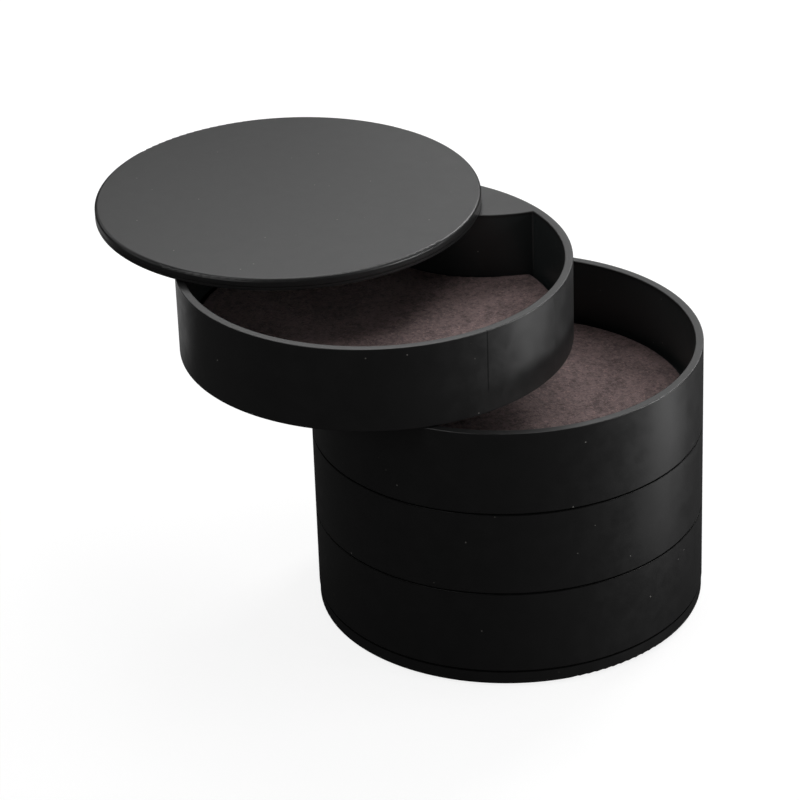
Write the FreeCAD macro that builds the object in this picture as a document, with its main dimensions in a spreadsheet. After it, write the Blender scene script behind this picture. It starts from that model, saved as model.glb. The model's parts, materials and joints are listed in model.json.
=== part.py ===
# Round swivel jewellery box: a lid and four equal trays that turn about one upright pin at the rear edge,
# on a base plate. Millimetres, +Z up. The origin is the centre of the underside of the closed stack, and
# the pin stands at +Y. Tray 1 is the top tray.
#
# Every piece is drawn with its own origin on the pin's axis, so that a placement turns it about the pin.
# Its round outline is centred in front of that origin, at a negative y.

import FreeCAD, Part
import math
import os
import Sketcher
from FreeCAD import Placement, Rotation, Vector
from types import SimpleNamespace

TRAYS = 4
RIBS = 8

# how close two lengths are to count as the same
NEAR = 1e-4

SIZES = {
    # outline shared by the trays and the lid
    "shell_radius": 55.0,
    "pivot_inset": 8.9,
    "seam_gap": 0.3,
    "edge_radius": 0.4,
    "outer_edge_radius": 0.2,
    # how far the lid and the top tray are swung open, in degrees
    "lid_swing_angle": -102.1,
    "top_tray_swing_angle": -46.0,
    # tray
    "tray_height": 24.55,
    "tray_wall": 2.4,
    "floor_thickness": 2.0,
    "floor_lift": 1.5,
    "floor_rib_width": 1.6,
    "floor_ring_radius": 14.0,
    # hinge block at the rear of each tray, bounded in front by an arc
    "block_depth": 21.6,
    "block_radius": 37.3,
    "block_wall": 2.0,
    "corner_radius": 0.6,
    "block_plate": 2.2,
    "block_rib_width": 1.4,
    "block_rib_offset": 11.0,
    "boss_radius": 5.8,
    # felt liner
    "felt_thickness": 2.0,
    "felt_clearance": 0.9,
    # pivot pin and what is on it
    "pin_radius": 3.0,
    "pin_running_clearance": 0.05,
    "pin_end_chamfer": 0.25,
    "pin_tip": 0.35,
    "head_radius": 5.0,
    "head_thickness": 1.2,
    "head_flat": 3.9,
    "head_clearance": 0.1,
    "groove_depth": 0.6,
    "groove_clearance": 0.03,
    "clip_radius": 5.4,
    "clip_thickness": 0.6,
    "clip_mouth": 4.0,
    "clip_washer_radius": 5.2,
    "clip_washer_thickness": 0.3,
    "spring_radius": 5.0,
    "spring_height": 0.45,
    "spring_thickness": 0.25,
    "washer_radius": 6.0,
    "washer_seat_depth": 0.6,
    "washer_clearance": 0.2,
    "axial_play": 0.05,
    # lid: a cover and the plate that closes it from below
    "lid_thickness": 3.4,
    "lid_plate_thickness": 1.0,
    "lid_top_thickness": 1.2,
    "lid_skirt": 2.2,
    "lid_edge_radius": 0.9,
    "lid_seam_chamfer": 0.2,
    "spigot_width": 1.4,
    "spigot_height": 0.9,
    "spigot_clearance": 0.2,
    "lid_ring_radius": 30.0,
    "lid_ring_width": 1.4,
    "hub_floor": 0.7,
    "hub_clearance": 0.6,
    "hub_headroom": 0.2,
    # base plate and the grip pad under it
    "base_inset": 0.15,
    "base_height": 4.1,
    "base_edge_radius": 0.8,
    "base_well_margin": 11.1,
    "base_well_depth": 1.4,
    "base_rib_width": 1.8,
    "base_ring_radius": 12.0,
    "grip_inset": 2.6,
    "grip_thickness": 1.2,
    "grip_stand": 0.6,
    "grip_clearance": 0.2,
}

doc = FreeCAD.newDocument("SwivelBox")
sheet = doc.addObject("Spreadsheet::Sheet", "Sizes")
for row, (alias, number) in enumerate(SIZES.items(), start=1):
    sheet.set(f"A{row}", alias)
    sheet.set(f"B{row}", str(number))
    sheet.setAlias(f"B{row}", alias)
doc.recompute()


class Formula:
    """A spreadsheet formula together with its present value, so that sizes can be added up in Python."""

    def __init__(self, text, number):
        self.text = text
        self.number = number

    def joined(self, sign, other, number):
        return Formula(f"({self.text} {sign} {textOf(other)})", number)

    def __add__(self, other):
        return self.joined("+", other, self.number + numberOf(other))

    def __sub__(self, other):
        return self.joined("-", other, self.number - numberOf(other))

    def __mul__(self, other):
        return self.joined("*", other, self.number * numberOf(other))

    def __truediv__(self, other):
        return self.joined("/", other, self.number / numberOf(other))

    def __neg__(self):
        return Formula(f"(0 - {self.text})", -self.number)


def textOf(value):
    return value.text if isinstance(value, Formula) else str(value)


def numberOf(value):
    return value.number if isinstance(value, Formula) else value


def root(value):
    return Formula(f"sqrt({value.text})", math.sqrt(value.number))


d = SimpleNamespace(**{alias: Formula(f"Sizes.{alias}", sheet.get(alias)) for alias in SIZES})

# Sizes that several pieces share
innerRadius = d.shell_radius - d.tray_wall
pivotOffset = d.shell_radius - d.pivot_inset
shellY = -pivotOffset
blockY = d.pivot_inset - d.block_depth + d.block_radius
boreRadius = d.pin_radius + d.pin_running_clearance
seatRadius = d.washer_radius + d.washer_clearance
lidInnerRadius = d.shell_radius - d.lid_skirt
lidCoverHeight = d.lid_thickness - d.lid_plate_thickness
hubRadius = d.clip_radius + d.hub_clearance
baseRadius = d.shell_radius - d.base_inset
gripRadius = baseRadius - d.grip_inset
gripRecess = d.grip_thickness - d.grip_stand

# Heights above the surface that the box stands on
baseTop = d.grip_stand + d.base_height
headBottom = d.grip_thickness + d.head_clearance
headTop = headBottom + d.head_thickness
tierPitch = d.tray_height + d.seam_gap
lidBottom = baseTop + d.seam_gap + tierPitch * TRAYS
springBottom = lidBottom + d.hub_floor
clipWasherBottom = springBottom + d.spring_height
clipBottom = clipWasherBottom + d.clip_washer_thickness
pinTop = clipBottom + d.clip_thickness + d.pin_tip


def trayBottom(number):
    """Height of a tray's lowest edge in the stack."""
    return lidBottom - tierPitch * number


def bind(target, prop, value):
    target.setExpression(prop, textOf(value))


def newBody(label, height, swing=None):
    """An empty body whose own origin is on the pin's axis, at the given height, turned by a swing."""
    body = doc.addObject("PartDesign::Body", label)
    body.Label = label
    bind(body, "Placement.Base.y", pivotOffset)
    bind(body, "Placement.Base.z", height)
    if swing:
        bind(body, "Placement.Rotation.Angle", swing)
    return body


def newSketch(body, name, height=0, plane="XY_Plane"):
    """A sketch on one of the body's own origin planes, lifted by a height."""
    sketch = body.newObject("Sketcher::SketchObject", f"{body.Label}_{name}")
    support = [part for part in body.Origin.OriginFeatures if part.Role == plane]
    sketch.AttachmentSupport = [(support[0], "")]
    sketch.MapMode = "FlatFace"
    bind(sketch, "AttachmentOffset.Base.z", height)
    return sketch


def constrain(sketch, value, kind, *where):
    """A dimension of a sketch, bound to its formula."""
    index = sketch.addConstraint(Sketcher.Constraint(kind, *where, numberOf(value)))
    bind(sketch, f"Constraints[{index}]", value)


def pinPoint(sketch, geometry, point, x, y):
    """Fixes a point of a sketch at x and y, where a plain 0 puts it on the axis itself."""
    for value, kind, axis in ((x, "DistanceX", -2), (y, "DistanceY", -1)):
        if isinstance(value, Formula):
            constrain(sketch, value, kind, -1, 1, geometry, point)
        else:
            sketch.addConstraint(Sketcher.Constraint("PointOnObject", geometry, point, axis))


def circle(sketch, radius, y=0, x=0):
    start = Part.Circle(Vector(numberOf(x), numberOf(y), 0), Vector(0, 0, 1), numberOf(radius))
    index = sketch.addGeometry(start, False)
    constrain(sketch, radius, "Radius", index)
    pinPoint(sketch, index, 3, x, y)


def polygon(sketch, corners):
    points = [Vector(numberOf(x), numberOf(y), 0) for x, y in corners]
    first = sketch.GeometryCount
    for start, end in zip(points, points[1:] + points[:1]):
        sketch.addGeometry(Part.LineSegment(start, end), False)
    for step in range(len(points)):
        following = first + (step + 1) % len(points)
        sketch.addConstraint(Sketcher.Constraint("Coincident", first + step, 2, following, 1))
    for step, (x, y) in enumerate(corners):
        pinPoint(sketch, first + step, 1, x, y)


def lens(sketch, outerRadius, frontRadius):
    """The outline between the tray's round wall and the arc that bounds the hinge block in front."""
    wall, front, gap = outerRadius.number, frontRadius.number, (blockY - shellY).number
    along = (wall**2 - front**2 + gap**2) / (2 * gap)
    wallAngle = math.acos(along / wall)
    frontAngle = math.acos((gap - along) / front)
    upright = Vector(0, 0, 1)
    wallCircle = Part.Circle(Vector(0, shellY.number, 0), upright, wall)
    frontCircle = Part.Circle(Vector(0, blockY.number, 0), upright, front)
    up, down = math.pi / 2, 3 * math.pi / 2
    rear = sketch.addGeometry(Part.ArcOfCircle(wallCircle, up - wallAngle, up + wallAngle), False)
    face = sketch.addGeometry(Part.ArcOfCircle(frontCircle, down - frontAngle, down + frontAngle), False)
    sketch.addConstraint(Sketcher.Constraint("Coincident", rear, 2, face, 1))
    sketch.addConstraint(Sketcher.Constraint("Coincident", face, 2, rear, 1))
    constrain(sketch, outerRadius, "Radius", rear)
    constrain(sketch, frontRadius, "Radius", face)
    pinPoint(sketch, rear, 3, 0, shellY)
    pinPoint(sketch, face, 3, 0, blockY)


def roundWithFlat(sketch, radius, flat):
    """A circle about the pin with a flat side towards the rear."""
    rise = math.asin(flat.number / radius.number)
    curve = Part.Circle(Vector(0, 0, 0), Vector(0, 0, 1), radius.number)
    arc = sketch.addGeometry(Part.ArcOfCircle(curve, math.pi - rise, 2 * math.pi + rise), False)
    across = math.sqrt(radius.number**2 - flat.number**2)
    ends = Vector(across, flat.number, 0), Vector(-across, flat.number, 0)
    line = sketch.addGeometry(Part.LineSegment(*ends), False)
    sketch.addConstraint(Sketcher.Constraint("Coincident", arc, 2, line, 1))
    sketch.addConstraint(Sketcher.Constraint("Coincident", line, 2, arc, 1))
    sketch.addConstraint(Sketcher.Constraint("Horizontal", line))
    constrain(sketch, radius, "Radius", arc)
    pinPoint(sketch, arc, 3, 0, 0)
    constrain(sketch, flat, "DistanceY", -1, 1, line, 1)


def pad(body, sketch, length):
    """Adds the sketch's outline as material, from the sketch upwards."""
    feature = body.newObject("PartDesign::Pad", f"{sketch.Name}_pad")
    feature.Profile = sketch
    bind(feature, "Length", length)
    sketch.Visibility = False
    return feature


def cut(body, sketch, depth):
    """Cuts the sketch's outline away, from the sketch upwards. A pocket runs down unless it is reversed."""
    feature = body.newObject("PartDesign::Pocket", f"{sketch.Name}_cut")
    feature.Profile = sketch
    feature.Reversed = True
    bind(feature, "Length", depth)
    sketch.Visibility = False
    return feature


def disc(body, name, radius, thickness, height=0, y=shellY):
    sketch = newSketch(body, name, height)
    circle(sketch, radius, y)
    return pad(body, sketch, thickness)


def ring(body, name, outer, inner, thickness, height=0, y=0):
    sketch = newSketch(body, name, height)
    circle(sketch, outer, y)
    circle(sketch, inner, y)
    return pad(body, sketch, thickness)


def hole(body, name, radius, depth, bottom=0, y=0):
    """A round hole cut from its bottom upwards."""
    sketch = newSketch(body, name, bottom)
    circle(sketch, radius, y)
    return cut(body, sketch, depth)


def spin(body, sketch):
    """A body of revolution about the pin's axis, from a sketch of its half section."""
    turned = body.newObject("PartDesign::Revolution", sketch.Name + "_spin")
    turned.Profile = sketch
    turned.ReferenceAxis = (sketch, ["V_Axis"])
    turned.Angle = 360
    sketch.Visibility = False
    return turned


def follows(edge, height, radius, y):
    """Whether an edge lies flat at a height and is an arc of that radius about y."""
    box = edge.BoundBox
    level = box.ZLength < NEAR and abs(box.ZMin - numberOf(height)) < NEAR
    if not level or not isinstance(edge.Curve, Part.Circle):
        return False
    shift = math.hypot(edge.Curve.Center.x, edge.Curve.Center.y - numberOf(y))
    return shift < NEAR and abs(edge.Curve.Radius - numberOf(radius)) < NEAR


def soften(body, wanted, size, kind="Fillet"):
    """Rounds or chamfers the edges of the body's tip that a test picks out."""
    doc.recompute()
    base = body.Tip
    names = [f"Edge{number}" for number, edge in enumerate(base.Shape.Edges, start=1) if wanted(edge)]
    if not names:
        raise ValueError(f"{body.Label}: no edge to soften on {base.Name}")
    feature = body.newObject(f"PartDesign::{kind}", f"{base.Name}_{kind}")
    feature.Base = (base, names)
    bind(feature, "Radius" if kind == "Fillet" else "Size", size)
    return feature


def softenRim(body, height, arcs, size, kind="Fillet"):
    """Softens the flat edges at a height that follow one of the arcs, each a radius and its centre's y."""
    return soften(body, lambda edge: any(follows(edge, height, *arc) for arc in arcs), size, kind)


def spokes(body, name, width, inner, outer, thickness, height=0):
    """Equal radial ribs about the centre of the round outline."""
    sketch = newSketch(body, name, height)
    bind(sketch, "AttachmentOffset.Base.y", shellY)
    half = width / 2
    polygon(sketch, [(-half, -outer), (half, -outer), (half, -inner), (-half, -inner)])
    spoke = pad(body, sketch, thickness)
    doc.recompute()
    pattern = body.newObject("PartDesign::PolarPattern", sketch.Name + "_pattern")
    pattern.Originals = [spoke]
    pattern.Axis = (sketch, ["N_Axis"])
    pattern.Angle = 360
    pattern.Occurrences = RIBS
    body.Tip = pattern


# Trays


def blockRibs(body, height):
    """Upright ribs across the hollow of the hinge block, from its front wall to the tray's round wall."""
    half = d.block_rib_width / 2
    frontRadius = d.block_radius - d.block_wall / 2
    wallRadius = d.shell_radius - d.tray_wall / 2
    for name, side in (("left", -1), ("middle", 0), ("right", 1)):
        x = d.block_rib_offset * side
        front = blockY - root(frontRadius * frontRadius - x * x)
        rear = shellY + root(wallRadius * wallRadius - x * x)
        sketch = newSketch(body, f"rib_{name}", d.floor_lift)
        polygon(sketch, [(x - half, front), (x + half, front), (x + half, rear), (x - half, rear)])
        pad(body, sketch, height)


def isInsideCorner(edge, floorTop):
    """Whether an edge is an upright corner between the compartment's wall and the hinge block."""
    box = edge.BoundBox
    upright = box.XLength < NEAR and box.YLength < NEAR and box.ZMin > floorTop.number - NEAR
    return upright and abs(math.hypot(box.XMin, box.YMin - shellY.number) - innerRadius.number) < NEAR


def trayShell(number, swing):
    body = newBody(f"tray_{number}_shell", trayBottom(number), swing)
    floorTop = d.floor_lift + d.floor_thickness
    ringHalf = d.floor_rib_width / 2
    wallMiddle = d.shell_radius - d.tray_wall / 2
    disc(body, "shell", d.shell_radius, d.tray_height)
    hole(body, "compartment", innerRadius, d.tray_height - floorTop, floorTop, shellY)
    block = newSketch(body, "block", d.floor_lift)
    lens(block, wallMiddle, d.block_radius)
    pad(body, block, d.tray_height - d.floor_lift)
    soften(body, lambda edge: isInsideCorner(edge, floorTop), d.corner_radius)
    hole(body, "underside", innerRadius, d.floor_lift, 0, shellY)
    spokes(body, "floor_rib", d.floor_rib_width, d.floor_ring_radius, wallMiddle, d.floor_lift)
    ring(body, "floor_ring", d.floor_ring_radius + ringHalf, d.floor_ring_radius - ringHalf,
         d.floor_lift, 0, shellY)
    hollow = newSketch(body, "hollow")
    lens(hollow, innerRadius, d.block_radius - d.block_wall)
    cut(body, hollow, d.tray_height - d.block_plate)
    disc(body, "boss", d.boss_radius, d.tray_height, 0, 0)
    blockRibs(body, d.tray_height - d.floor_lift - d.block_plate / 2)
    hole(body, "bore", boreRadius, d.tray_height)
    hole(body, "washer_seat", seatRadius, d.washer_seat_depth, d.tray_height - d.washer_seat_depth)
    softenRim(body, d.tray_height, [(innerRadius, shellY), (d.block_radius, blockY)], d.edge_radius)
    softenRim(body, d.tray_height, [(d.shell_radius, shellY)], d.outer_edge_radius)
    softenRim(body, 0, [(d.shell_radius, shellY)], d.edge_radius / 2, "Chamfer")
    return body


def feltPad(number, swing):
    """The felt liner on a tray's floor, cut to the round wall and to the face of the hinge block."""
    bottom = trayBottom(number) + d.floor_lift + d.floor_thickness
    body = newBody(f"tray_{number}_felt_pad", bottom, swing)
    disc(body, "felt", innerRadius - d.felt_clearance, d.felt_thickness)
    hole(body, "block_side", d.block_radius + d.felt_clearance, d.felt_thickness, 0, blockY)
    return body


def swivelWasher(label, tierTop):
    """A thin washer in its seat on top of a tier, on which the next tier turns."""
    body = newBody(label, tierTop - d.washer_seat_depth)
    ring(body, "ring", d.washer_radius, boreRadius, d.washer_seat_depth + d.seam_gap - d.axial_play)
    return body


# Pivot


def pivotPin():
    """A steel pin up through every tier, with a flat on its head that keeps it from turning."""
    body = newBody("pivot_pin", headBottom)
    head = newSketch(body, "head")
    roundWithFlat(head, d.head_radius, d.head_flat)
    pad(body, head, d.head_thickness)
    grooveRadius = d.pin_radius - d.groove_depth
    grooveBottom = clipBottom - headBottom - d.groove_clearance
    grooveTop = clipBottom - headBottom + d.clip_thickness + d.groove_clearance
    top = pinTop - headBottom
    shank = newSketch(body, "shank", plane="XZ_Plane")
    polygon(shank, [
        (0, 0),
        (d.pin_radius, 0),
        (d.pin_radius, grooveBottom),
        (grooveRadius, grooveBottom),
        (grooveRadius, grooveTop),
        (d.pin_radius, grooveTop),
        (d.pin_radius, top - d.pin_end_chamfer),
        (d.pin_radius - d.pin_end_chamfer, top),
        (0, top),
    ])
    spin(body, shank)
    return body


def pivotClip():
    """The open retaining clip that snaps into the pin's groove and holds the whole stack together."""
    body = newBody("pivot_clip", clipBottom)
    ring(body, "ring", d.clip_radius, d.pin_radius - d.groove_depth + d.groove_clearance, d.clip_thickness)
    mouth = newSketch(body, "mouth")
    half = d.clip_mouth / 2
    polygon(mouth, [(-half, 0), (half, 0), (half, d.clip_radius * 2), (-half, d.clip_radius * 2)])
    cut(body, mouth, d.clip_thickness)
    return body


def pivotWasher():
    body = newBody("pivot_washer", clipWasherBottom)
    ring(body, "ring", d.clip_washer_radius, boreRadius, d.clip_washer_thickness)
    return body


def pivotSpring():
    """The disc spring that presses the tiers together, so that each stays where it is turned to."""
    body = newBody("pivot_spring", springBottom)
    section = newSketch(body, "section", plane="XZ_Plane")
    polygon(section, [
        (boreRadius, d.spring_height - d.spring_thickness),
        (d.spring_radius, 0),
        (d.spring_radius, d.spring_thickness),
        (boreRadius, d.spring_height),
    ])
    spin(body, section)
    return body


# Lid


def lidPlate():
    """The plate that closes the lid from below and turns on the pin."""
    body = newBody("lid_plate", lidBottom, d.lid_swing_angle)
    spigotRadius = lidInnerRadius - d.spigot_clearance
    coverRoom = lidCoverHeight - d.lid_top_thickness
    plateTop = d.lid_plate_thickness
    disc(body, "plate", d.shell_radius, plateTop)
    ring(body, "spigot", spigotRadius, spigotRadius - d.spigot_width, d.spigot_height, plateTop, shellY)
    ring(body, "support", d.lid_ring_radius, d.lid_ring_radius - d.lid_ring_width, coverRoom,
         plateTop, shellY)
    hole(body, "hub_well", hubRadius, lidCoverHeight, d.hub_floor)
    hole(body, "bore", boreRadius, d.hub_floor)
    softenRim(body, 0, [(d.shell_radius, shellY)], d.edge_radius / 2, "Chamfer")
    return body


def lidCover():
    """The round top of the lid, a shallow dish upside down on the lid plate."""
    body = newBody("lid_cover", lidBottom + d.lid_plate_thickness, d.lid_swing_angle)
    hubTop = pinTop - lidBottom + d.hub_headroom - d.lid_plate_thickness
    disc(body, "cover", d.shell_radius, lidCoverHeight)
    hole(body, "inside", lidInnerRadius, lidCoverHeight - d.lid_top_thickness, 0, shellY)
    hole(body, "hub_room", hubRadius, hubTop)
    softenRim(body, lidCoverHeight, [(d.shell_radius, shellY)], d.lid_edge_radius)
    softenRim(body, 0, [(d.shell_radius, shellY)], d.lid_seam_chamfer, "Chamfer")
    return body


# Base


def basePlate():
    body = newBody("base_plate", d.grip_stand)
    recessTop = headTop - d.grip_stand
    wellFloor = d.base_height - d.base_well_depth
    wellRadius = pivotOffset - d.base_well_margin
    ringHalf = d.base_rib_width / 2
    disc(body, "plate", baseRadius, d.base_height)
    hole(body, "well", wellRadius, d.base_well_depth, wellFloor, shellY)
    spokes(body, "well_rib", d.base_rib_width, d.base_ring_radius, wellRadius + ringHalf,
           d.base_well_depth, wellFloor)
    ring(body, "well_ring", d.base_ring_radius + ringHalf, d.base_ring_radius - ringHalf,
         d.base_well_depth, wellFloor, shellY)
    hole(body, "grip_recess", gripRadius + d.grip_clearance, gripRecess, 0, shellY)
    seat = newSketch(body, "head_seat")
    roundWithFlat(seat, d.head_radius + d.head_clearance, d.head_flat + d.head_clearance)
    cut(body, seat, recessTop)
    hole(body, "bore", boreRadius, d.base_height)
    hole(body, "washer_seat", seatRadius, d.washer_seat_depth, d.base_height - d.washer_seat_depth)
    softenRim(body, 0, [(baseRadius, shellY)], d.base_edge_radius)
    return body


def gripPad():
    """The non-slip disc under the base, which also covers the head of the pin."""
    body = newBody("base_grip_pad", 0)
    disc(body, "grip", gripRadius, d.grip_thickness)
    return body


pieces = [lidCover(), lidPlate(), pivotPin(), pivotClip(), pivotWasher(), pivotSpring(), basePlate()]
pieces.append(gripPad())
pieces.append(swivelWasher("base_swivel_washer", baseTop))
for number in range(1, TRAYS + 1):
    swing = d.top_tray_swing_angle if number == 1 else None
    pieces.append(trayShell(number, swing))
    pieces.append(feltPad(number, swing))
    pieces.append(swivelWasher(f"tray_{number}_swivel_washer", trayBottom(number) + d.tray_height))

doc.recompute()
for item in doc.Objects:
    if "Invalid" in item.State or "Error" in item.State:
        raise RuntimeError(f"{item.Label} failed: {item.State}")
    if item.TypeId == "PartDesign::Pocket" and item.Shape.Volume > item.BaseFeature.Shape.Volume - NEAR:
        raise RuntimeError(f"{item.Label} cuts nothing")
for piece in pieces:
    shape = piece.Shape
    if shape.isNull() or not shape.isValid() or len(shape.Solids) != 1:
        raise RuntimeError(f"{piece.Label} is not one valid solid")

os.makedirs("parts", exist_ok=True)
for piece in pieces:
    piece.Shape.exportStep(f"parts/{piece.Label}.step")
    print(f"{piece.Label}: {piece.Shape.Volume / 1000:.2f} cm3")
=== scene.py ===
import json
import math
import bpy
import numpy as np
from mathutils import Matrix, Vector


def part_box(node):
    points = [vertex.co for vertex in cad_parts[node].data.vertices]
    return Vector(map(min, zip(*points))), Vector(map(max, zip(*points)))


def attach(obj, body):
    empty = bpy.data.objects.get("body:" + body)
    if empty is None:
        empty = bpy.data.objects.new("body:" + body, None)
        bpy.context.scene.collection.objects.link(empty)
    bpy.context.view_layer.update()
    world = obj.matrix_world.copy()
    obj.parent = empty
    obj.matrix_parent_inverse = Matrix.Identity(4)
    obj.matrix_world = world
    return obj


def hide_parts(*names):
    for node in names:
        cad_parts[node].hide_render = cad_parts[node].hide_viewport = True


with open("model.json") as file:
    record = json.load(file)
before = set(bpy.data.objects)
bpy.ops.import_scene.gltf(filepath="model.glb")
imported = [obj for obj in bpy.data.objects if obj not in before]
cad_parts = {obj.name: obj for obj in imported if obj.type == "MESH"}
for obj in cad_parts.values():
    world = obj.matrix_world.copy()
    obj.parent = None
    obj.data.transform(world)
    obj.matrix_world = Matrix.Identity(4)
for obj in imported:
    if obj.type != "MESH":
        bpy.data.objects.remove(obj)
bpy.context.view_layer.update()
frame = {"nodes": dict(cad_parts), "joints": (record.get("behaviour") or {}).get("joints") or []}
nodes = frame["nodes"]
trayNumbers = (1, 2, 3, 4)
mm = 0.001
print("frame loaded,", len(nodes), "nodes")


# places worked out from the frame

def middleOf(node):
    # middle of a round outline, seen from above
    low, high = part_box(node)
    return np.array([(low.x + high.x) / 2, (low.y + high.y) / 2])


def heightsOf(node):
    low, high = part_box(node)
    return low.z, high.z


def turnOf(node):
    # direction from the middle of a round outline to the pin, as an angle
    arm = pinSpot - middleOf(node)
    return math.atan2(arm[1], arm[0])


pinSpot = np.array(frame["joints"][0]["pos_m"][:2])
stackMiddle = middleOf("tray_4_shell")
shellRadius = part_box("tray_4_shell")[1].x - stackMiddle[0]


# camera

cameraView = dict(
    bearing=-19.48,  # degrees round the box, 0 straight in front of it, minus to its left
    distance=877.14 * mm,
    height=530.90 * mm,
    heading=17.52,  # degrees to the right of +Y
    pitch=28.18,  # degrees down
    roll=-2.07,
    lens=159.39,
)


def makeCamera(c):
    bearing, heading, pitch, roll = (math.radians(c[key]) for key in ("bearing", "heading", "pitch", "roll"))
    place = Vector((c["distance"] * math.sin(bearing), -c["distance"] * math.cos(bearing), c["height"]))
    level = math.cos(pitch)
    ahead = Vector((math.sin(heading) * level, math.cos(heading) * level, -math.sin(pitch)))
    right = Vector((math.cos(heading), -math.sin(heading), 0))
    up = right.cross(ahead)
    tiltedRight = right * math.cos(roll) + up * math.sin(roll)
    tiltedUp = up * math.cos(roll) - right * math.sin(roll)
    camera = bpy.data.objects.new("camera", bpy.data.cameras.new("camera"))
    camera.data.lens = c["lens"]
    camera.data.clip_start = 10 * mm
    aim = Matrix((tiltedRight, tiltedUp, -ahead)).transposed().to_4x4()
    camera.matrix_world = Matrix.Translation(place) @ aim
    bpy.context.scene.collection.objects.link(camera)
    bpy.context.scene.camera = camera


makeCamera(cameraView)
bpy.context.scene.view_settings.view_transform = "Standard"
print("camera placed")


# shader maths: a wire is one socket, and an expression on wires adds its Math nodes

class Wire:
    def __init__(self, shader, socket):
        self.shader = shader
        self.socket = socket

    def math(self, operation, *others):
        sockets = dict(enumerate((self, *others)))
        return self.shader.node("ShaderNodeMath", dict(operation=operation), sockets)

    def __add__(self, other):
        return self.math("ADD", other)

    def __sub__(self, other):
        return self.math("SUBTRACT", other)

    def __mul__(self, other):
        return self.math("MULTIPLY", other)

    def __rsub__(self, other):
        return self.shader.node("ShaderNodeMath", dict(operation="SUBTRACT"), {0: other, 1: self})

    def __abs__(self):
        return self.math("ABSOLUTE")

    __radd__ = __add__
    __rmul__ = __mul__

    def rise(self, low, high):
        # 0 up to low and 1 from high, smooth between them
        return self.shader.node("ShaderNodeMapRange", dict(interpolation_type="SMOOTHSTEP"), {
            "Value": self, "From Min": low, "From Max": high})

    def beside(self, output):
        # another output of the same node
        return Wire(self.shader, self.socket.node.outputs[output])


paintedShadeColour = (0.002, 0.002, 0.002, 1)  # painted shade: the unlit black that a shaded place is mixed towards


class Shader:
    def __init__(self, owner):
        # the owner is a material or a world
        owner.use_nodes = True
        self.owner = owner
        self.tree = owner.node_tree
        self.tree.nodes.clear()

    def node(self, kind, settings=None, sockets=None, output=0):
        # one node: its settings first, then the values or links of its sockets, and one output handed back
        made = self.tree.nodes.new(kind)
        for key, value in (settings or {}).items():
            if key == "stops":  # the two that a ramp starts with
                for element, (place, colour) in zip(made.color_ramp.elements, value):
                    element.position = place
                    element.color = colour
            else:
                setattr(made, key, value)
        for key, value in (sockets or {}).items():
            if isinstance(value, Wire):
                self.tree.links.new(value.socket, made.inputs[key])
            else:
                made.inputs[key].default_value = value
        return Wire(self, made.outputs[output]) if made.outputs else made

    def place(self, middle=(0, 0), height=0.0, turn=0.0, stretch=(1, 1, 1)):
        # object coordinates from a middle, turned back by an angle and divided by a stretch
        return self.node("ShaderNodeMapping", dict(vector_type="TEXTURE"), {
            "Vector": self.node("ShaderNodeTexCoord", output="Object"),
            "Location": (middle[0], middle[1], height),
            "Rotation": (0, 0, turn),
            "Scale": stretch,
        })

    def split(self, vector):
        first = self.node("ShaderNodeSeparateXYZ", None, {0: vector})
        return first, first.beside(1), first.beside(2)

    def noise(self, vector, size, detail=2.0, roughness=0.5):
        return self.node("ShaderNodeTexNoise", None, {
            "Vector": vector, "Scale": 1 / size, "Detail": detail, "Roughness": roughness})

    def cells(self, vector, size):
        return self.node("ShaderNodeTexVoronoi", None, {"Vector": vector, "Scale": 1 / size})

    def mix(self, factor, first, second):
        return self.node("ShaderNodeMix", dict(data_type="RGBA"), {0: factor, 6: first, 7: second}, output=2)

    def bump(self, height, distance):
        return self.node("ShaderNodeBump", None, {"Height": height, "Distance": distance})

    def finish(self, paintedShade=None, **sockets):
        # this argument is how far a place is mixed towards unlit black, as painted shade
        surface = self.node("ShaderNodeBsdfPrincipled", None, {
            key.replace("_", " "): value for key, value in sockets.items()})
        if paintedShade is not None:
            black = self.node("ShaderNodeBsdfDiffuse", None, {"Color": paintedShadeColour})
            surface = self.node("ShaderNodeMixShader", None, {0: paintedShade, 1: surface, 2: black})
        self.node("ShaderNodeOutputMaterial", None, {0: surface})
        return self.owner


# finishes

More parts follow.
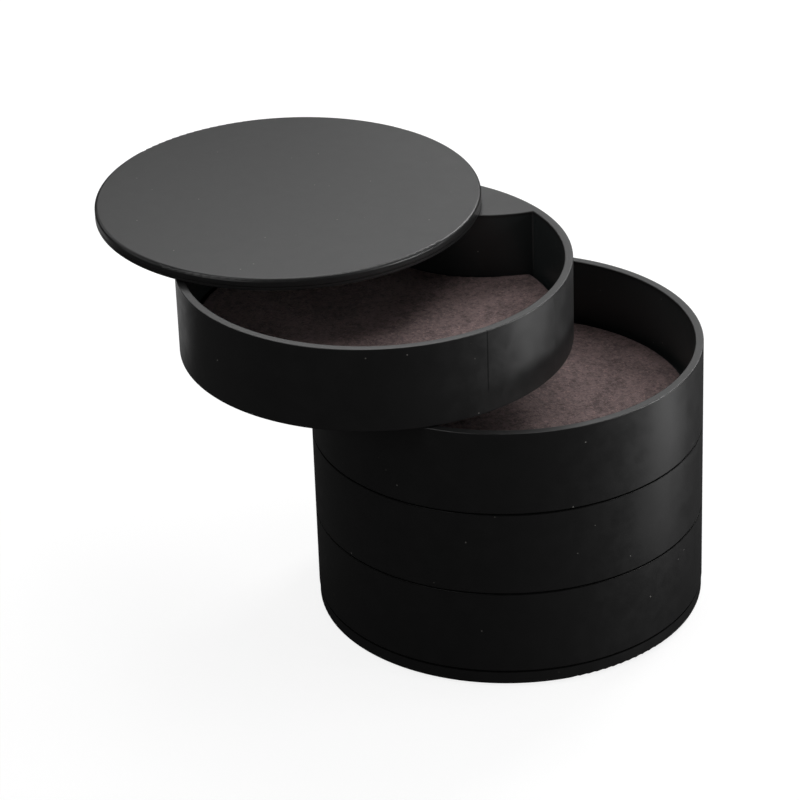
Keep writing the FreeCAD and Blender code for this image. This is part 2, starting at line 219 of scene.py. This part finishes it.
blackPlastic = dict(
    colour=(0.0130, 0.0129, 0.0130, 1),
    worn=(0.030, 0.030, 0.031, 1),
    dust=(0.30, 0.29, 0.27, 1),
    roughness=0.35,
    rubbedGloss=0.15,  # how much smoother an edge that hands touch is
    unevenness=0.10,  # of the roughness, from place to place
    smears=0.03,  # the same on the outer walls, where hands take hold
    grainSize=0.22 * mm,
    grainDepth=0.008 * mm,
    cloudSize=24 * mm,
    cloudShare=0.5,  # what the cloud adds to the unevenness, beside 1 from the rubbing
    rubSize=5 * mm,
    handled=0.3,  # how far the rims of the two open trays are rubbed
    wornShare=0.3,  # how far a rubbed edge goes over to the worn colour
    wornNoise=(0.30, 0.55),  # of the rubbing, where a mark starts and where it is full
    smearNoise=(0.38, 0.62),
    smearLevel=0.4,  # of a smear, where the wall is as glossy as it would be without
    inner=(0.0225, 0.0265, 0.0270, 1),  # painted light: the walls inside a tray are made paler and a little bluer, for light they lack and to cancel the felt's reddish bounce
    speckSpacing=4.2 * mm,
    speckRadius=0.24 * mm,
    speckShare=0.40,  # of the cells have a speck
    speckFade=0.02,
    dustShare=0.8,  # how far a speck goes over to the colour of dust
    dustRoughness=0.3,  # how much rougher it is
    lineAngle=-119,  # degrees round a tray from the pin to the mould's parting line
    lineHalf=0.34 * mm,
    lineBottom=5.2 * mm,
    lineFade=3 * mm,
    lineShade=0.5,  # how dark the painted shade along the line is
    coveredShade=0.75,  # how dark the painted shade is on the rim edge under another tray
    lotStep=37 * mm,  # how far the pattern moves on from one lot to the next
    # lengths in from the outer wall, or down from the rim: where a mask starts and where it is full
    rubbedIn=(1.2 * mm, 0.3 * mm),
    rubbedDown=(1.1 * mm, 0.4 * mm),
    wallIn=(0.5 * mm, 0.2 * mm),
    lineIn=(0.5 * mm, 0.3 * mm),
    coveredDown=(0.35 * mm, 0.15 * mm),
    innerIn=(1.2 * mm, 0.8 * mm),
    innerDown=(1.2 * mm, 0.6 * mm),
)


def onWall(radius, band):
    # 1 on the outer wall, 0 further in
    return radius.rise(shellRadius - band[0], shellRadius - band[1])


def onRim(z, band):
    # 1 at the rim, 0 further down; z is 0 at the rim
    return z.rise(-band[0], -band[1])


def makePlastic(name, node, lot, tray=False, handled=0.0, covered=False):
    # moulded plastic: a fine eroded grain, clouded gloss, a rubbed rim and a few specks of dust, with
    # painted shade in the seams and along the parting line and painted light on a tray's inner walls
    p = blackPlastic
    s = Shader(bpy.data.materials.new(name))
    middle = middleOf(node)
    bottom, top = heightsOf(node)
    place = s.place(middle, top, turnOf(node))
    x, y, z = s.split(place)
    radius = (x * x + y * y).math("SQRT")
    # each lot is another stretch of the same pattern, so that no two pieces are marked alike
    marks = s.place(middle, top - lot * p["lotStep"], turnOf(node) + lot)
    cloud = s.noise(marks, p["cloudSize"], 3, 0.55)
    rubbed = s.noise(marks, p["rubSize"], 4, 0.65)
    grain = s.noise(place, p["grainSize"], 2, 0.6)
    edge = onWall(radius, p["rubbedIn"]) * onRim(z, p["rubbedDown"]) * handled
    wear = edge * rubbed.rise(*p["wornNoise"])
    smear = onWall(radius, p["wallIn"]) * (rubbed.rise(*p["smearNoise"]) - p["smearLevel"])
    cell = s.cells(marks, p["speckSpacing"])
    chosen = s.split(cell.beside("Color"))[0].rise(1 - p["speckShare"], 1 - p["speckShare"] + p["speckFade"])
    speckEdge = p["speckRadius"] / p["speckSpacing"]
    speck = chosen * (1 - cell.rise(0.5 * speckEdge, speckEdge))
    colour = s.mix(wear * p["wornShare"], p["colour"], p["worn"])
    paintedShade = None
    if covered:
        # painted shade: the outer rim edge of a piece that a tray lies on is mixed towards unlit black, as
        # the seam's shadow
        paintedShade = onWall(radius, p["wallIn"]) * onRim(z, p["coveredDown"]) * p["coveredShade"]
    if tray:
        # painted light on the walls inside the tray, below the rim
        paintedLightWithin = (1 - onWall(radius, p["innerIn"])) * (1 - onRim(z, p["innerDown"]))
        colour = s.mix(paintedLightWithin, colour, p["inner"])
        # the mould's parting line: a hair-fine dark line down the outer wall, left by the joint of the
        # mould's halves, drawn as painted shade
        along, across, up = s.split(s.place(middle, bottom, turnOf(node) + math.radians(p["lineAngle"])))
        line = (1 - abs(across).rise(0.3 * p["lineHalf"], p["lineHalf"])) * along.rise(0, shellRadius / 2)
        line = line * onWall(radius, p["lineIn"])
        line = line * up.rise(p["lineBottom"], p["lineBottom"] + p["lineFade"]) * p["lineShade"]
        paintedShade = line if paintedShade is None else paintedShade.math("MAXIMUM", line)
    colour = s.mix(speck * p["dustShare"], colour, p["dust"])
    uneven = cloud * p["cloudShare"] + rubbed - (1 + p["cloudShare"]) / 2
    return s.finish(
        paintedShade,
        Base_Color=colour,
        Roughness=uneven * p["unevenness"] + p["roughness"] + smear * p["smears"]
        - wear * p["rubbedGloss"] + speck * p["dustRoughness"],
        Normal=s.bump(grain, p["grainDepth"]),
    )


feltFinish = dict(
    dark=(0.084, 0.057, 0.056, 1),
    light=(0.248, 0.174, 0.168, 1),
    pink=(0.400, 0.262, 0.248, 1),
    purple=(0.056, 0.036, 0.043, 1),
    tuftSize=1.9 * mm,
    patchSize=10 * mm,
    fleckSize=0.85 * mm,
    hairSize=0.27 * mm,
    hairLength=3.0,  # times its size
    hairLies=(0.3, 1.7),  # the two ways that hairs lie, as angles
    tuftShare=0.6,  # this and the next two are what each adds to the shade
    hairShare=0.4,
    patchShare=0.3,
    shadeNoise=(0.36, 0.62),  # where the shade is dark and where it is light
    fleckNoise=(0.54, 0.72),  # where a fleck starts and where it is full
    pinkShare=0.6,  # how far a full fleck goes over to pink
    purpleShare=0.7,
    roughness=0.95,
    sheen=0.25,
    sheenRoughness=0.5,
    sheenColour=(0.9, 0.8, 0.8, 1),
    relief=0.3 * mm,
)


def makeFelt(name, node):
    # clumps of fibre in two shades, flecks of pinker and purpler wool, and fine hairs that lie two ways
    f = feltFinish
    s = Shader(bpy.data.materials.new(name))
    middle, turn = middleOf(node), turnOf(node)
    place = s.place(middle, 0, turn)
    tufts = s.noise(place, f["tuftSize"], 4, 0.7)
    patches = s.noise(place, f["patchSize"], 2, 0.5)
    pinkFlecks, purpleFlecks = (s.noise(s.place(middle, lift * mm, turn), f["fleckSize"], 2, 0.5)
                                for lift in (7, 15))
    hairs = [s.noise(s.place(middle, 0, turn + lie, (f["hairLength"], 1, 1)), f["hairSize"], 2, 0.6)
             for lie in f["hairLies"]]
    hair = hairs[0].math("MAXIMUM", hairs[1])
    shade = tufts * f["tuftShare"] + hair * f["hairShare"] + patches * f["patchShare"] - f["patchShare"] / 2
    colour = s.mix(shade.rise(*f["shadeNoise"]), f["dark"], f["light"])
    colour = s.mix(pinkFlecks.rise(*f["fleckNoise"]) * f["pinkShare"], colour, f["pink"])
    colour = s.mix(purpleFlecks.rise(*f["fleckNoise"]) * f["purpleShare"], colour, f["purple"])
    return s.finish(
        Base_Color=colour,
        Roughness=f["roughness"],
        Sheen_Weight=f["sheen"],
        Sheen_Roughness=f["sheenRoughness"],
        Sheen_Tint=f["sheenColour"],
        Normal=s.bump(tufts * 0.5 + hair * 0.5, f["relief"]),
    )


turnedSteel = dict(
    colour=(0.56, 0.56, 0.57, 1),
    roughness=0.34,
    ringSize=0.15 * mm,
    ringDepth=0.004 * mm,
    ringRoughness=0.16,  # what the rings add, from the smoothest to the roughest
    cloudSize=2.5 * mm,
    cloudRoughness=0.10,
    cloudShade=0.8,  # of the colour, where the cloud is full
)
springSteel = dict(turnedSteel, colour=(0.20, 0.20, 0.22, 1), roughness=0.38, ringSize=0.3 * mm)


def makeMetal(name, m):
    # turned metal: fine rings round the pin's axis under a cloud of handling
    s = Shader(bpy.data.materials.new(name))
    place = s.place(pinSpot)
    x, y, z = s.split(place)
    out = s.node("ShaderNodeCombineXYZ", None, {0: (x * x + y * y).math("SQRT"), 2: z})
    rings = s.noise(out, m["ringSize"], 2, 0.6)
    cloud = s.noise(place, m["cloudSize"], 3, 0.5)
    clouded = tuple(m["cloudShade"] * part for part in m["colour"][:3]) + (1,)
    smoothest = m["roughness"] - (m["ringRoughness"] + m["cloudRoughness"]) / 2
    return s.finish(
        Base_Color=s.mix(cloud, m["colour"], clouded),
        Metallic=1.0,
        Roughness=rings * m["ringRoughness"] + cloud * m["cloudRoughness"] + smoothest,
        Normal=s.bump(rings, m["ringDepth"]),
    )


whiteNylon = dict(
    colour=(0.70, 0.68, 0.61, 1),
    clouded=(0.57, 0.55, 0.49, 1),
    cloudSize=3.0 * mm,
    roughness=0.36,
    cloudRoughness=0.12,
    milkiness=0.15,
    lightReach=0.5 * mm,  # how far light goes in
    grainSize=0.2 * mm,
    grainDepth=0.006 * mm,
)


def makeNylon(name, n):
    s = Shader(bpy.data.materials.new(name))
    place = s.place(pinSpot)
    cloud = s.noise(place, n["cloudSize"], 3, 0.5)
    return s.finish(
        Base_Color=s.mix(cloud, n["colour"], n["clouded"]),
        Roughness=cloud * n["cloudRoughness"] + n["roughness"],
        Subsurface_Weight=n["milkiness"],
        Subsurface_Scale=n["lightReach"],
        Normal=s.bump(s.noise(place, n["grainSize"]), n["grainDepth"]),
    )


gripRubber = dict(
    colour=(0.022, 0.022, 0.022, 1),
    clouded=(0.040, 0.039, 0.038, 1),
    cloudSize=14 * mm,
    roughness=0.72,
    cellRoughness=0.2,
    cellSize=0.6 * mm,
    cellDepth=0.05 * mm,
)


def makeGrip(name, g):
    # foam rubber: a fine cast of small cells
    s = Shader(bpy.data.materials.new(name))
    place = s.place(stackMiddle)
    cell = s.cells(place, g["cellSize"])
    return s.finish(
        Base_Color=s.mix(s.noise(place, g["cloudSize"], 3), g["colour"], g["clouded"]),
        Roughness=cell * g["cellRoughness"] + g["roughness"],
        Normal=s.bump(cell, g["cellDepth"]),
    )


def dress(material, *names):
    for name in names:
        nodes[name].data.materials.clear()
        nodes[name].data.materials.append(material)


for number in trayNumbers:
    shell = f"tray_{number}_shell"
    # hands reach the rims of the two open trays, and hardly those inside the stack
    inStack = number > 2
    handled = 0 if inStack else blackPlastic["handled"]
    dress(makePlastic(f"tray {number} plastic", shell, number, tray=True, handled=handled, covered=inStack),
          shell)
dress(makePlastic("lid plastic", "lid_cover", 0), "lid_cover", "lid_plate")
dress(makePlastic("base plastic", "base_plate", 5, covered=True), "base_plate")
dress(makeGrip("grip rubber", gripRubber), "base_grip_pad")
dress(makeMetal("turned steel", turnedSteel), "pivot_pin", "pivot_washer")
dress(makeMetal("spring steel", springSteel), "pivot_clip", "pivot_spring")
swivelWashers = [f"tray_{number}_swivel_washer" for number in trayNumbers]
dress(makeNylon("nylon", whiteNylon), "base_swivel_washer", *swivelWashers)
print("solids dressed")


# felt liners

feltRadius = (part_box("tray_4_felt_pad")[1].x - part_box("tray_4_felt_pad")[0].x) / 2

feltLiner = dict(
    around=600,  # points round the edge
    across=110,  # points from the middle to the edge
    under=12,
    edgeRound=0.75 * mm,
    edgeSteps=7,
    cornerBlend=5.5 * mm,
    trim=0.5 * mm,  # cut smaller than the pad all round
    blockReach=33.2 * mm,  # from the tray's middle to the liner's edge at the hinge block
    blockRadius=37.5 * mm,
    raggedness=0.10 * mm,
    ragSize=4 * mm,
    relief=((21 * mm, 0.06 * mm), (3.4 * mm, 0.035 * mm), (1.3 * mm, 0.03 * mm)),
)


def ripple(x, y, size, seed):
    # uneven height, seldom past -0.5 or 0.5: the mean of sine waves of about one length in many directions
    draws = np.random.default_rng(seed)
    waves = 14
    total = np.zeros_like(x)
    for angle, stretch, phase in draws.uniform((0, 0.7, 0), (2 * math.pi, 1.5, 2 * math.pi), (waves, 3)):
        total += np.sin(2 * math.pi * (x * math.cos(angle) + y * math.sin(angle)) / (size * stretch) + phase)
    return total / waves


def feltReach(angle, outer, f):
    # from the tray's middle to the liner's edge: the round wall or, where it is nearer, the block's arc,
    # with the smaller of the two blended over the corner so that they meet in a round
    gap = f["blockReach"] + f["blockRadius"]
    along = gap * np.cos(angle)
    inside = f["blockRadius"]**2 - gap**2 + along**2
    meets = (inside > 0) & (along > 0)
    toBlock = np.where(meets, along - np.sqrt(np.maximum(inside, 0)), 2 * outer)
    nearness = np.clip(0.5 + 0.5 * (toBlock - outer) / f["cornerBlend"], 0, 1)
    return toBlock * (1 - nearness) + outer * nearness - f["cornerBlend"] * nearness * (1 - nearness)


def feltTop(x, y, f, number):
    # uneven height of the felt's face, from ripples of three sizes
    return sum(depth * ripple(x, y, size, 10 * number + step)
               for step, (size, depth) in enumerate(f["relief"]))


def meshPiece(name, points, faces, material, body):
    data = bpy.data.meshes.new(name)
    data.from_pydata(points.reshape(-1, 3), [], faces)
    data.materials.append(material)
    data.polygons.foreach_set("use_smooth", np.ones(len(data.polygons), bool))
    data.update()
    piece = bpy.data.objects.new(name, data)
    bpy.context.scene.collection.objects.link(piece)
    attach(piece, body)
    return piece


def settle(x, y, z, middle, turn):
    # points beside a tray's own middle, turned with it and carried to its place
    return np.stack([middle[0] + x * math.cos(turn) - y * math.sin(turn),
                     middle[1] + x * math.sin(turn) + y * math.cos(turn), z], axis=-1)


def netFaces(rows, columns):
    # four-sided faces of a net whose columns close on themselves, each face running out and then round
    row, column = np.mgrid[0:rows - 1, 0:columns]
    beyond = (column + 1) % columns
    corners = (row * columns + column, (row + 1) * columns + column, (row + 1) * columns + beyond,
               row * columns + beyond)
    return np.stack(corners, axis=-1).reshape(-1, 4)


def makeFeltLiner(number, f):
    # rows run from the middle of the face out, round the edge and back along the underside to the middle;
    # a row is the liner's outline, drawn in towards the middle, at a height
    pad, shell = f"tray_{number}_felt_pad", f"tray_{number}_shell"
    bottom, top = heightsOf(pad)
    thick = top - bottom
    angle = np.linspace(0, 2 * math.pi, f["around"], endpoint=False)
    outerEdge = feltRadius * np.stack([np.cos(angle), np.sin(angle)])
    ragged = f["raggedness"] * (ripple(*outerEdge, f["ragSize"], number) - 1)
    reach = feltReach(angle, feltRadius - f["trim"], f) + ragged
    flat = reach - f["edgeRound"]
    bend = np.linspace(0, math.pi / 2, f["edgeSteps"])[:, None]
    face = np.linspace(0, 1, f["across"])[1:-1, None]
    under = np.linspace(1, 0, f["under"])[:-1, None]
    out = np.vstack([face * flat, flat + f["edgeRound"] * np.sin(bend), under * reach])
    drop = np.vstack([
        0 * face * flat,
        f["edgeRound"] * (1 - np.cos(bend)) + 0 * flat,
        thick + 0 * under * flat,
    ])
    x, y = out * np.cos(angle), out * np.sin(angle)
    lively = (np.arange(len(out)) < len(face) + len(bend))[:, None]
    z = top - drop + lively * feltTop(x, y, f, number)
    net = settle(x, y, z, middleOf(shell), turnOf(shell)).reshape(-1, 3)
    centres = settle(*np.zeros((2, 2)), np.array([top, bottom]), middleOf(shell), turnOf(shell))
    columns, last = f["around"], len(net)
    column = np.arange(columns)
    beyond = (column + 1) % columns
    upperFan = np.stack([0 * column + last, column, beyond], axis=-1)
    lowerFan = np.stack([last - columns + column, 0 * column + last + 1, last - columns + beyond], axis=-1)
    faces = netFaces(len(out), columns).tolist() + upperFan.tolist() + lowerFan.tolist()
    liner = meshPiece(f"tray_{number}_felt_liner", np.vstack([net, centres]), faces,
                      makeFelt(f"tray {number} felt", shell), f"tray_{number}")
    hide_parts(pad)
    area = 0.5 * math.sin(angle[1]) * float(np.sum(reach * np.roll(reach, 1)))
    flatSize = tuple(float(np.ptp(side)) for side in (reach * np.cos(angle), reach * np.sin(angle)))
    return liner, flatSize, area


fuzz = dict(
    count=1100,
    shortest=1.0 * mm,
    longest=3.6 * mm,
    half=0.028 * mm,
    curl=2.2,  # most that a fibre turns along its length, as an angle
    arch=0.16 * mm,
    steps=7,
    share=0.97,  # of the liner's reach
    tipShare=0.3,  # of its thickness at its two ends
    thickness=(0.7, 1.3),  # times the half, from the finest to the coarsest
    shadeSize=1.1 * mm,
    shadeNoise=(0.38, 0.60),  # where a fibre is dark and where it is light
    roughness=0.6,
    unevenness=0.2,
)


def makeFuzz(number, f, liner):
    # loose fibres on the face: each runs at an even speed while its heading turns at an even rate, arches up
    # a little in the middle, and is a three-sided tube that thins towards its ends
    shell = f"tray_{number}_shell"
    draws = np.random.default_rng(50 + number)
    angle, heading = draws.uniform(0, 2 * math.pi, (2, f["count"]))
    reach = feltReach(angle, feltRadius, liner) * f["share"] * np.sqrt(draws.uniform(0, 1, f["count"]))
    length = draws.uniform(f["shortest"], f["longest"], f["count"])
    curl = draws.uniform(-f["curl"], f["curl"], f["count"])
    along = np.linspace(0, 1, f["steps"])
    bearing = heading[:, None] + curl[:, None] * (along - 0.5)
    step = length[:, None] / (f["steps"] - 1)
    half = length[:, None] / 2
    x = ((reach * np.cos(angle))[:, None] + np.cumsum(np.cos(bearing) * step, axis=1)
         - half * np.cos(heading)[:, None])
    y = ((reach * np.sin(angle))[:, None] + np.cumsum(np.sin(bearing) * step, axis=1)
         - half * np.sin(heading)[:, None])
    top = heightsOf(f"tray_{number}_felt_pad")[1]
    lift = draws.uniform(0, f["arch"], f["count"])[:, None] * np.sin(math.pi * along)
    z = top + feltTop(x, y, liner, number) + lift + 0.5 * f["half"]
    taper = f["tipShare"] + (1 - f["tipShare"]) * np.sin(math.pi * along)
    thick = f["half"] * taper * draws.uniform(*f["thickness"], f["count"])[:, None]
    side = np.array([1, 3, 5]) * math.pi / 3 - math.pi / 6  # the tube's three corners, the last one lowest
    sideways = thick[..., None] * np.cos(side)
    tubeX = x[..., None] - np.sin(bearing)[..., None] * sideways
    tubeY = y[..., None] + np.cos(bearing)[..., None] * sideways
    tubeZ = z[..., None] + thick[..., None] * np.sin(side)
    points = settle(tubeX, tubeY, tubeZ, middleOf(shell), turnOf(shell))
    sides = len(side)
    tube = netFaces(f["steps"], sides)[:, [0, 3, 2, 1]]
    firsts = (np.arange(f["count"]) * f["steps"] * sides)[:, None, None]
    quads = (firsts + tube).reshape(-1, 4)
    ends = np.array([[0, 2, 1], (f["steps"] - 1) * sides + np.arange(sides)])
    faces = quads.tolist() + (firsts + ends).reshape(-1, 3).tolist()
    return meshPiece(f"tray_{number}_felt_fibres", points, faces,
                     makeFibre(f"tray {number} fibres", shell, f), f"tray_{number}")


def makeFibre(name, node, f):
    s = Shader(bpy.data.materials.new(name))
    shade = s.noise(s.place(middleOf(node)), f["shadeSize"], 2, 0.5)
    stops = list(zip(f["shadeNoise"], (feltFinish["dark"], feltFinish["light"])))
    colour = s.node("ShaderNodeValToRGB", dict(stops=stops), {0: shade})
    return s.finish(Base_Color=colour, Roughness=shade * f["unevenness"] + f["roughness"])


for number in trayNumbers:
    liner, flatSize, area = makeFeltLiner(number, feltLiner)
    fibres = makeFuzz(number, fuzz, feltLiner)
print("felt laid,", [round(1000 * side, 1) for side in flatSize], "mm,", round(area * 1e4, 1), "cm2")


# floor, world and lights

studio = dict(
    aimHeight=50 * mm,
    floorSide=8.0,
    floorSheen=0.84,  # what the floor gives off to the camera by itself
    floorPale=(0.28, 0.28, 0.28, 1),
    floorDim=(0.05, 0.05, 0.05, 1),  # what the object sees of it
    roomDim=(0.04, 0.04, 0.04, 1),
    floorLightHeight=2 * mm,
)

# name, degrees round the object, degrees up, distance, width, height and radiance
lights = (
    ("low right light", 72, 3, 1.2, 0.20, 0.15, 37.0),
    ("low far right light", 84, 3, 1.2, 0.20, 0.15, 19.0),
    ("right edge light", 72, 9, 1.2, 0.20, 0.15, 5.0),
    ("right light", 60, 18, 1.2, 0.25, 0.20, 7.5),
    ("far right light", 100, 32, 1.2, 0.30, 0.30, 1.8),
    ("broad right light", 112, 58, 1.2, 0.50, 0.50, 1.5),
    ("high back right light", 145, 44, 1.2, 0.30, 0.30, 7.3),
    ("back right light", 145, 32, 1.2, 0.30, 0.30, 7.4),
    ("top light", 90, 75, 1.2, 0.40, 0.40, 2.5),
    ("high back light", 180, 58, 1.2, 0.50, 0.50, 2.6),
    ("near back light", 160, 38, 1.2, 0.32, 0.30, 1.3),
    ("far back light", 190, 38, 1.2, 0.32, 0.30, 3.0),
    ("low near back light", 160, 24, 1.2, 0.32, 0.30, 1.0),
    ("low far back light", 175, 24, 1.2, 0.32, 0.30, 1.2),
    ("back left light", 225, 30, 1.2, 0.45, 0.45, 1.1),
    ("high left light", -65, 58, 1.2, 0.50, 0.50, 2.3),
    ("left light", -40, 35, 1.2, 0.40, 0.40, 1.2),
    ("low front left light", -30, 12, 1.2, 0.55, 0.40, 1.6),
    ("low left light", -90, 12, 1.2, 0.55, 0.40, 1.0),
)

# name, degrees round the object, distance, side and radiance of lights that lie on the floor and shine up
floorLights = (
    ("right floor light", 90, 0.42, 0.14, 33.6),
    ("far right floor light", 105, 0.42, 0.14, 6.6),
    ("back right floor light", 120, 0.42, 0.14, 2.0),
    ("near right floor light", 90, 0.17, 0.06, 0.95),
    ("nearest right floor light", 75, 0.12, 0.05, 0.32),
    ("back left floor light", 221, 0.29, 0.17, 0.38),
)


def makeFloor(c):
    half = c["floorSide"] / 2
    data = bpy.data.meshes.new("floor")
    corners = [(-half, -half, 0), (half, -half, 0), (half, half, 0), (-half, half, 0)]
    data.from_pydata(corners, [], [(0, 1, 2, 3)])
    floor = bpy.data.objects.new("floor", data)
    bpy.context.scene.collection.objects.link(floor)
    s = Shader(bpy.data.materials.new("pale floor"))
    glow = s.node("ShaderNodeEmission", None, {"Color": (1, 1, 1, 1), "Strength": c["floorSheen"]})
    pale = s.node("ShaderNodeBsdfDiffuse", None, {"Color": c["floorPale"]})
    seen = s.node("ShaderNodeAddShader", None, {0: glow, 1: pale})
    dim = s.node("ShaderNodeBsdfDiffuse", None, {"Color": c["floorDim"]})
    camera = s.node("ShaderNodeLightPath", output="Is Camera Ray")
    surface = s.node("ShaderNodeMixShader", None, {0: camera, 1: dim, 2: seen})
    s.node("ShaderNodeOutputMaterial", None, {0: surface})
    data.materials.append(s.owner)


def makeWorld(c):
    world = bpy.data.worlds.new("studio")
    bpy.context.scene.world = world
    s = Shader(world)
    camera = s.node("ShaderNodeLightPath", output="Is Camera Ray")
    around = s.node("ShaderNodeBackground", None, {"Color": c["roomDim"]})
    seen = s.node("ShaderNodeBackground", None, {"Color": (1, 1, 1, 1)})
    surface = s.node("ShaderNodeMixShader", None, {0: camera, 1: around, 2: seen})
    s.node("ShaderNodeOutputWorld", None, {0: surface})


def addLamp(name, width, height, radiance, matrix):
    data = bpy.data.lights.new(name, "AREA")
    data.shape = "RECTANGLE"
    data.size, data.size_y = width, height
    data.energy = radiance * math.pi * width * height
    lamp = bpy.data.objects.new(name, data)
    lamp.matrix_world = matrix
    lamp.visible_camera = False
    bpy.context.scene.collection.objects.link(lamp)


def wayOut(side, elevation=0.0):
    # direction from the object, at an angle round it from the camera: 90 is right of the view, 180 behind
    bearing, rise = math.radians(cameraView["bearing"] + side), math.radians(elevation)
    return Vector((math.sin(bearing) * math.cos(rise), -math.cos(bearing) * math.cos(rise), math.sin(rise)))


def makeLight(name, side, elevation, distance, width, height, radiance):
    out = wayOut(side, elevation)
    place = Vector((0, 0, studio["aimHeight"])) + out * distance
    turn = out.to_track_quat("Z", "Y").to_matrix().to_4x4()
    addLamp(name, width, height, radiance, Matrix.Translation(place) @ turn)


def makeFloorLight(name, side, distance, size, radiance):
    # the half turn about X makes it shine upwards
    place = wayOut(side) * distance + Vector((0, 0, studio["floorLightHeight"]))
    bearing = math.radians(cameraView["bearing"] + side)
    turn = Matrix.Rotation(bearing, 4, "Z") @ Matrix.Rotation(math.pi, 4, "X")
    addLamp(name, size, size, radiance, Matrix.Translation(place) @ turn)


makeFloor(studio)
makeWorld(studio)
for light in lights:
    makeLight(*light)
for light in floorLights:
    makeFloorLight(*light)
print("studio set")
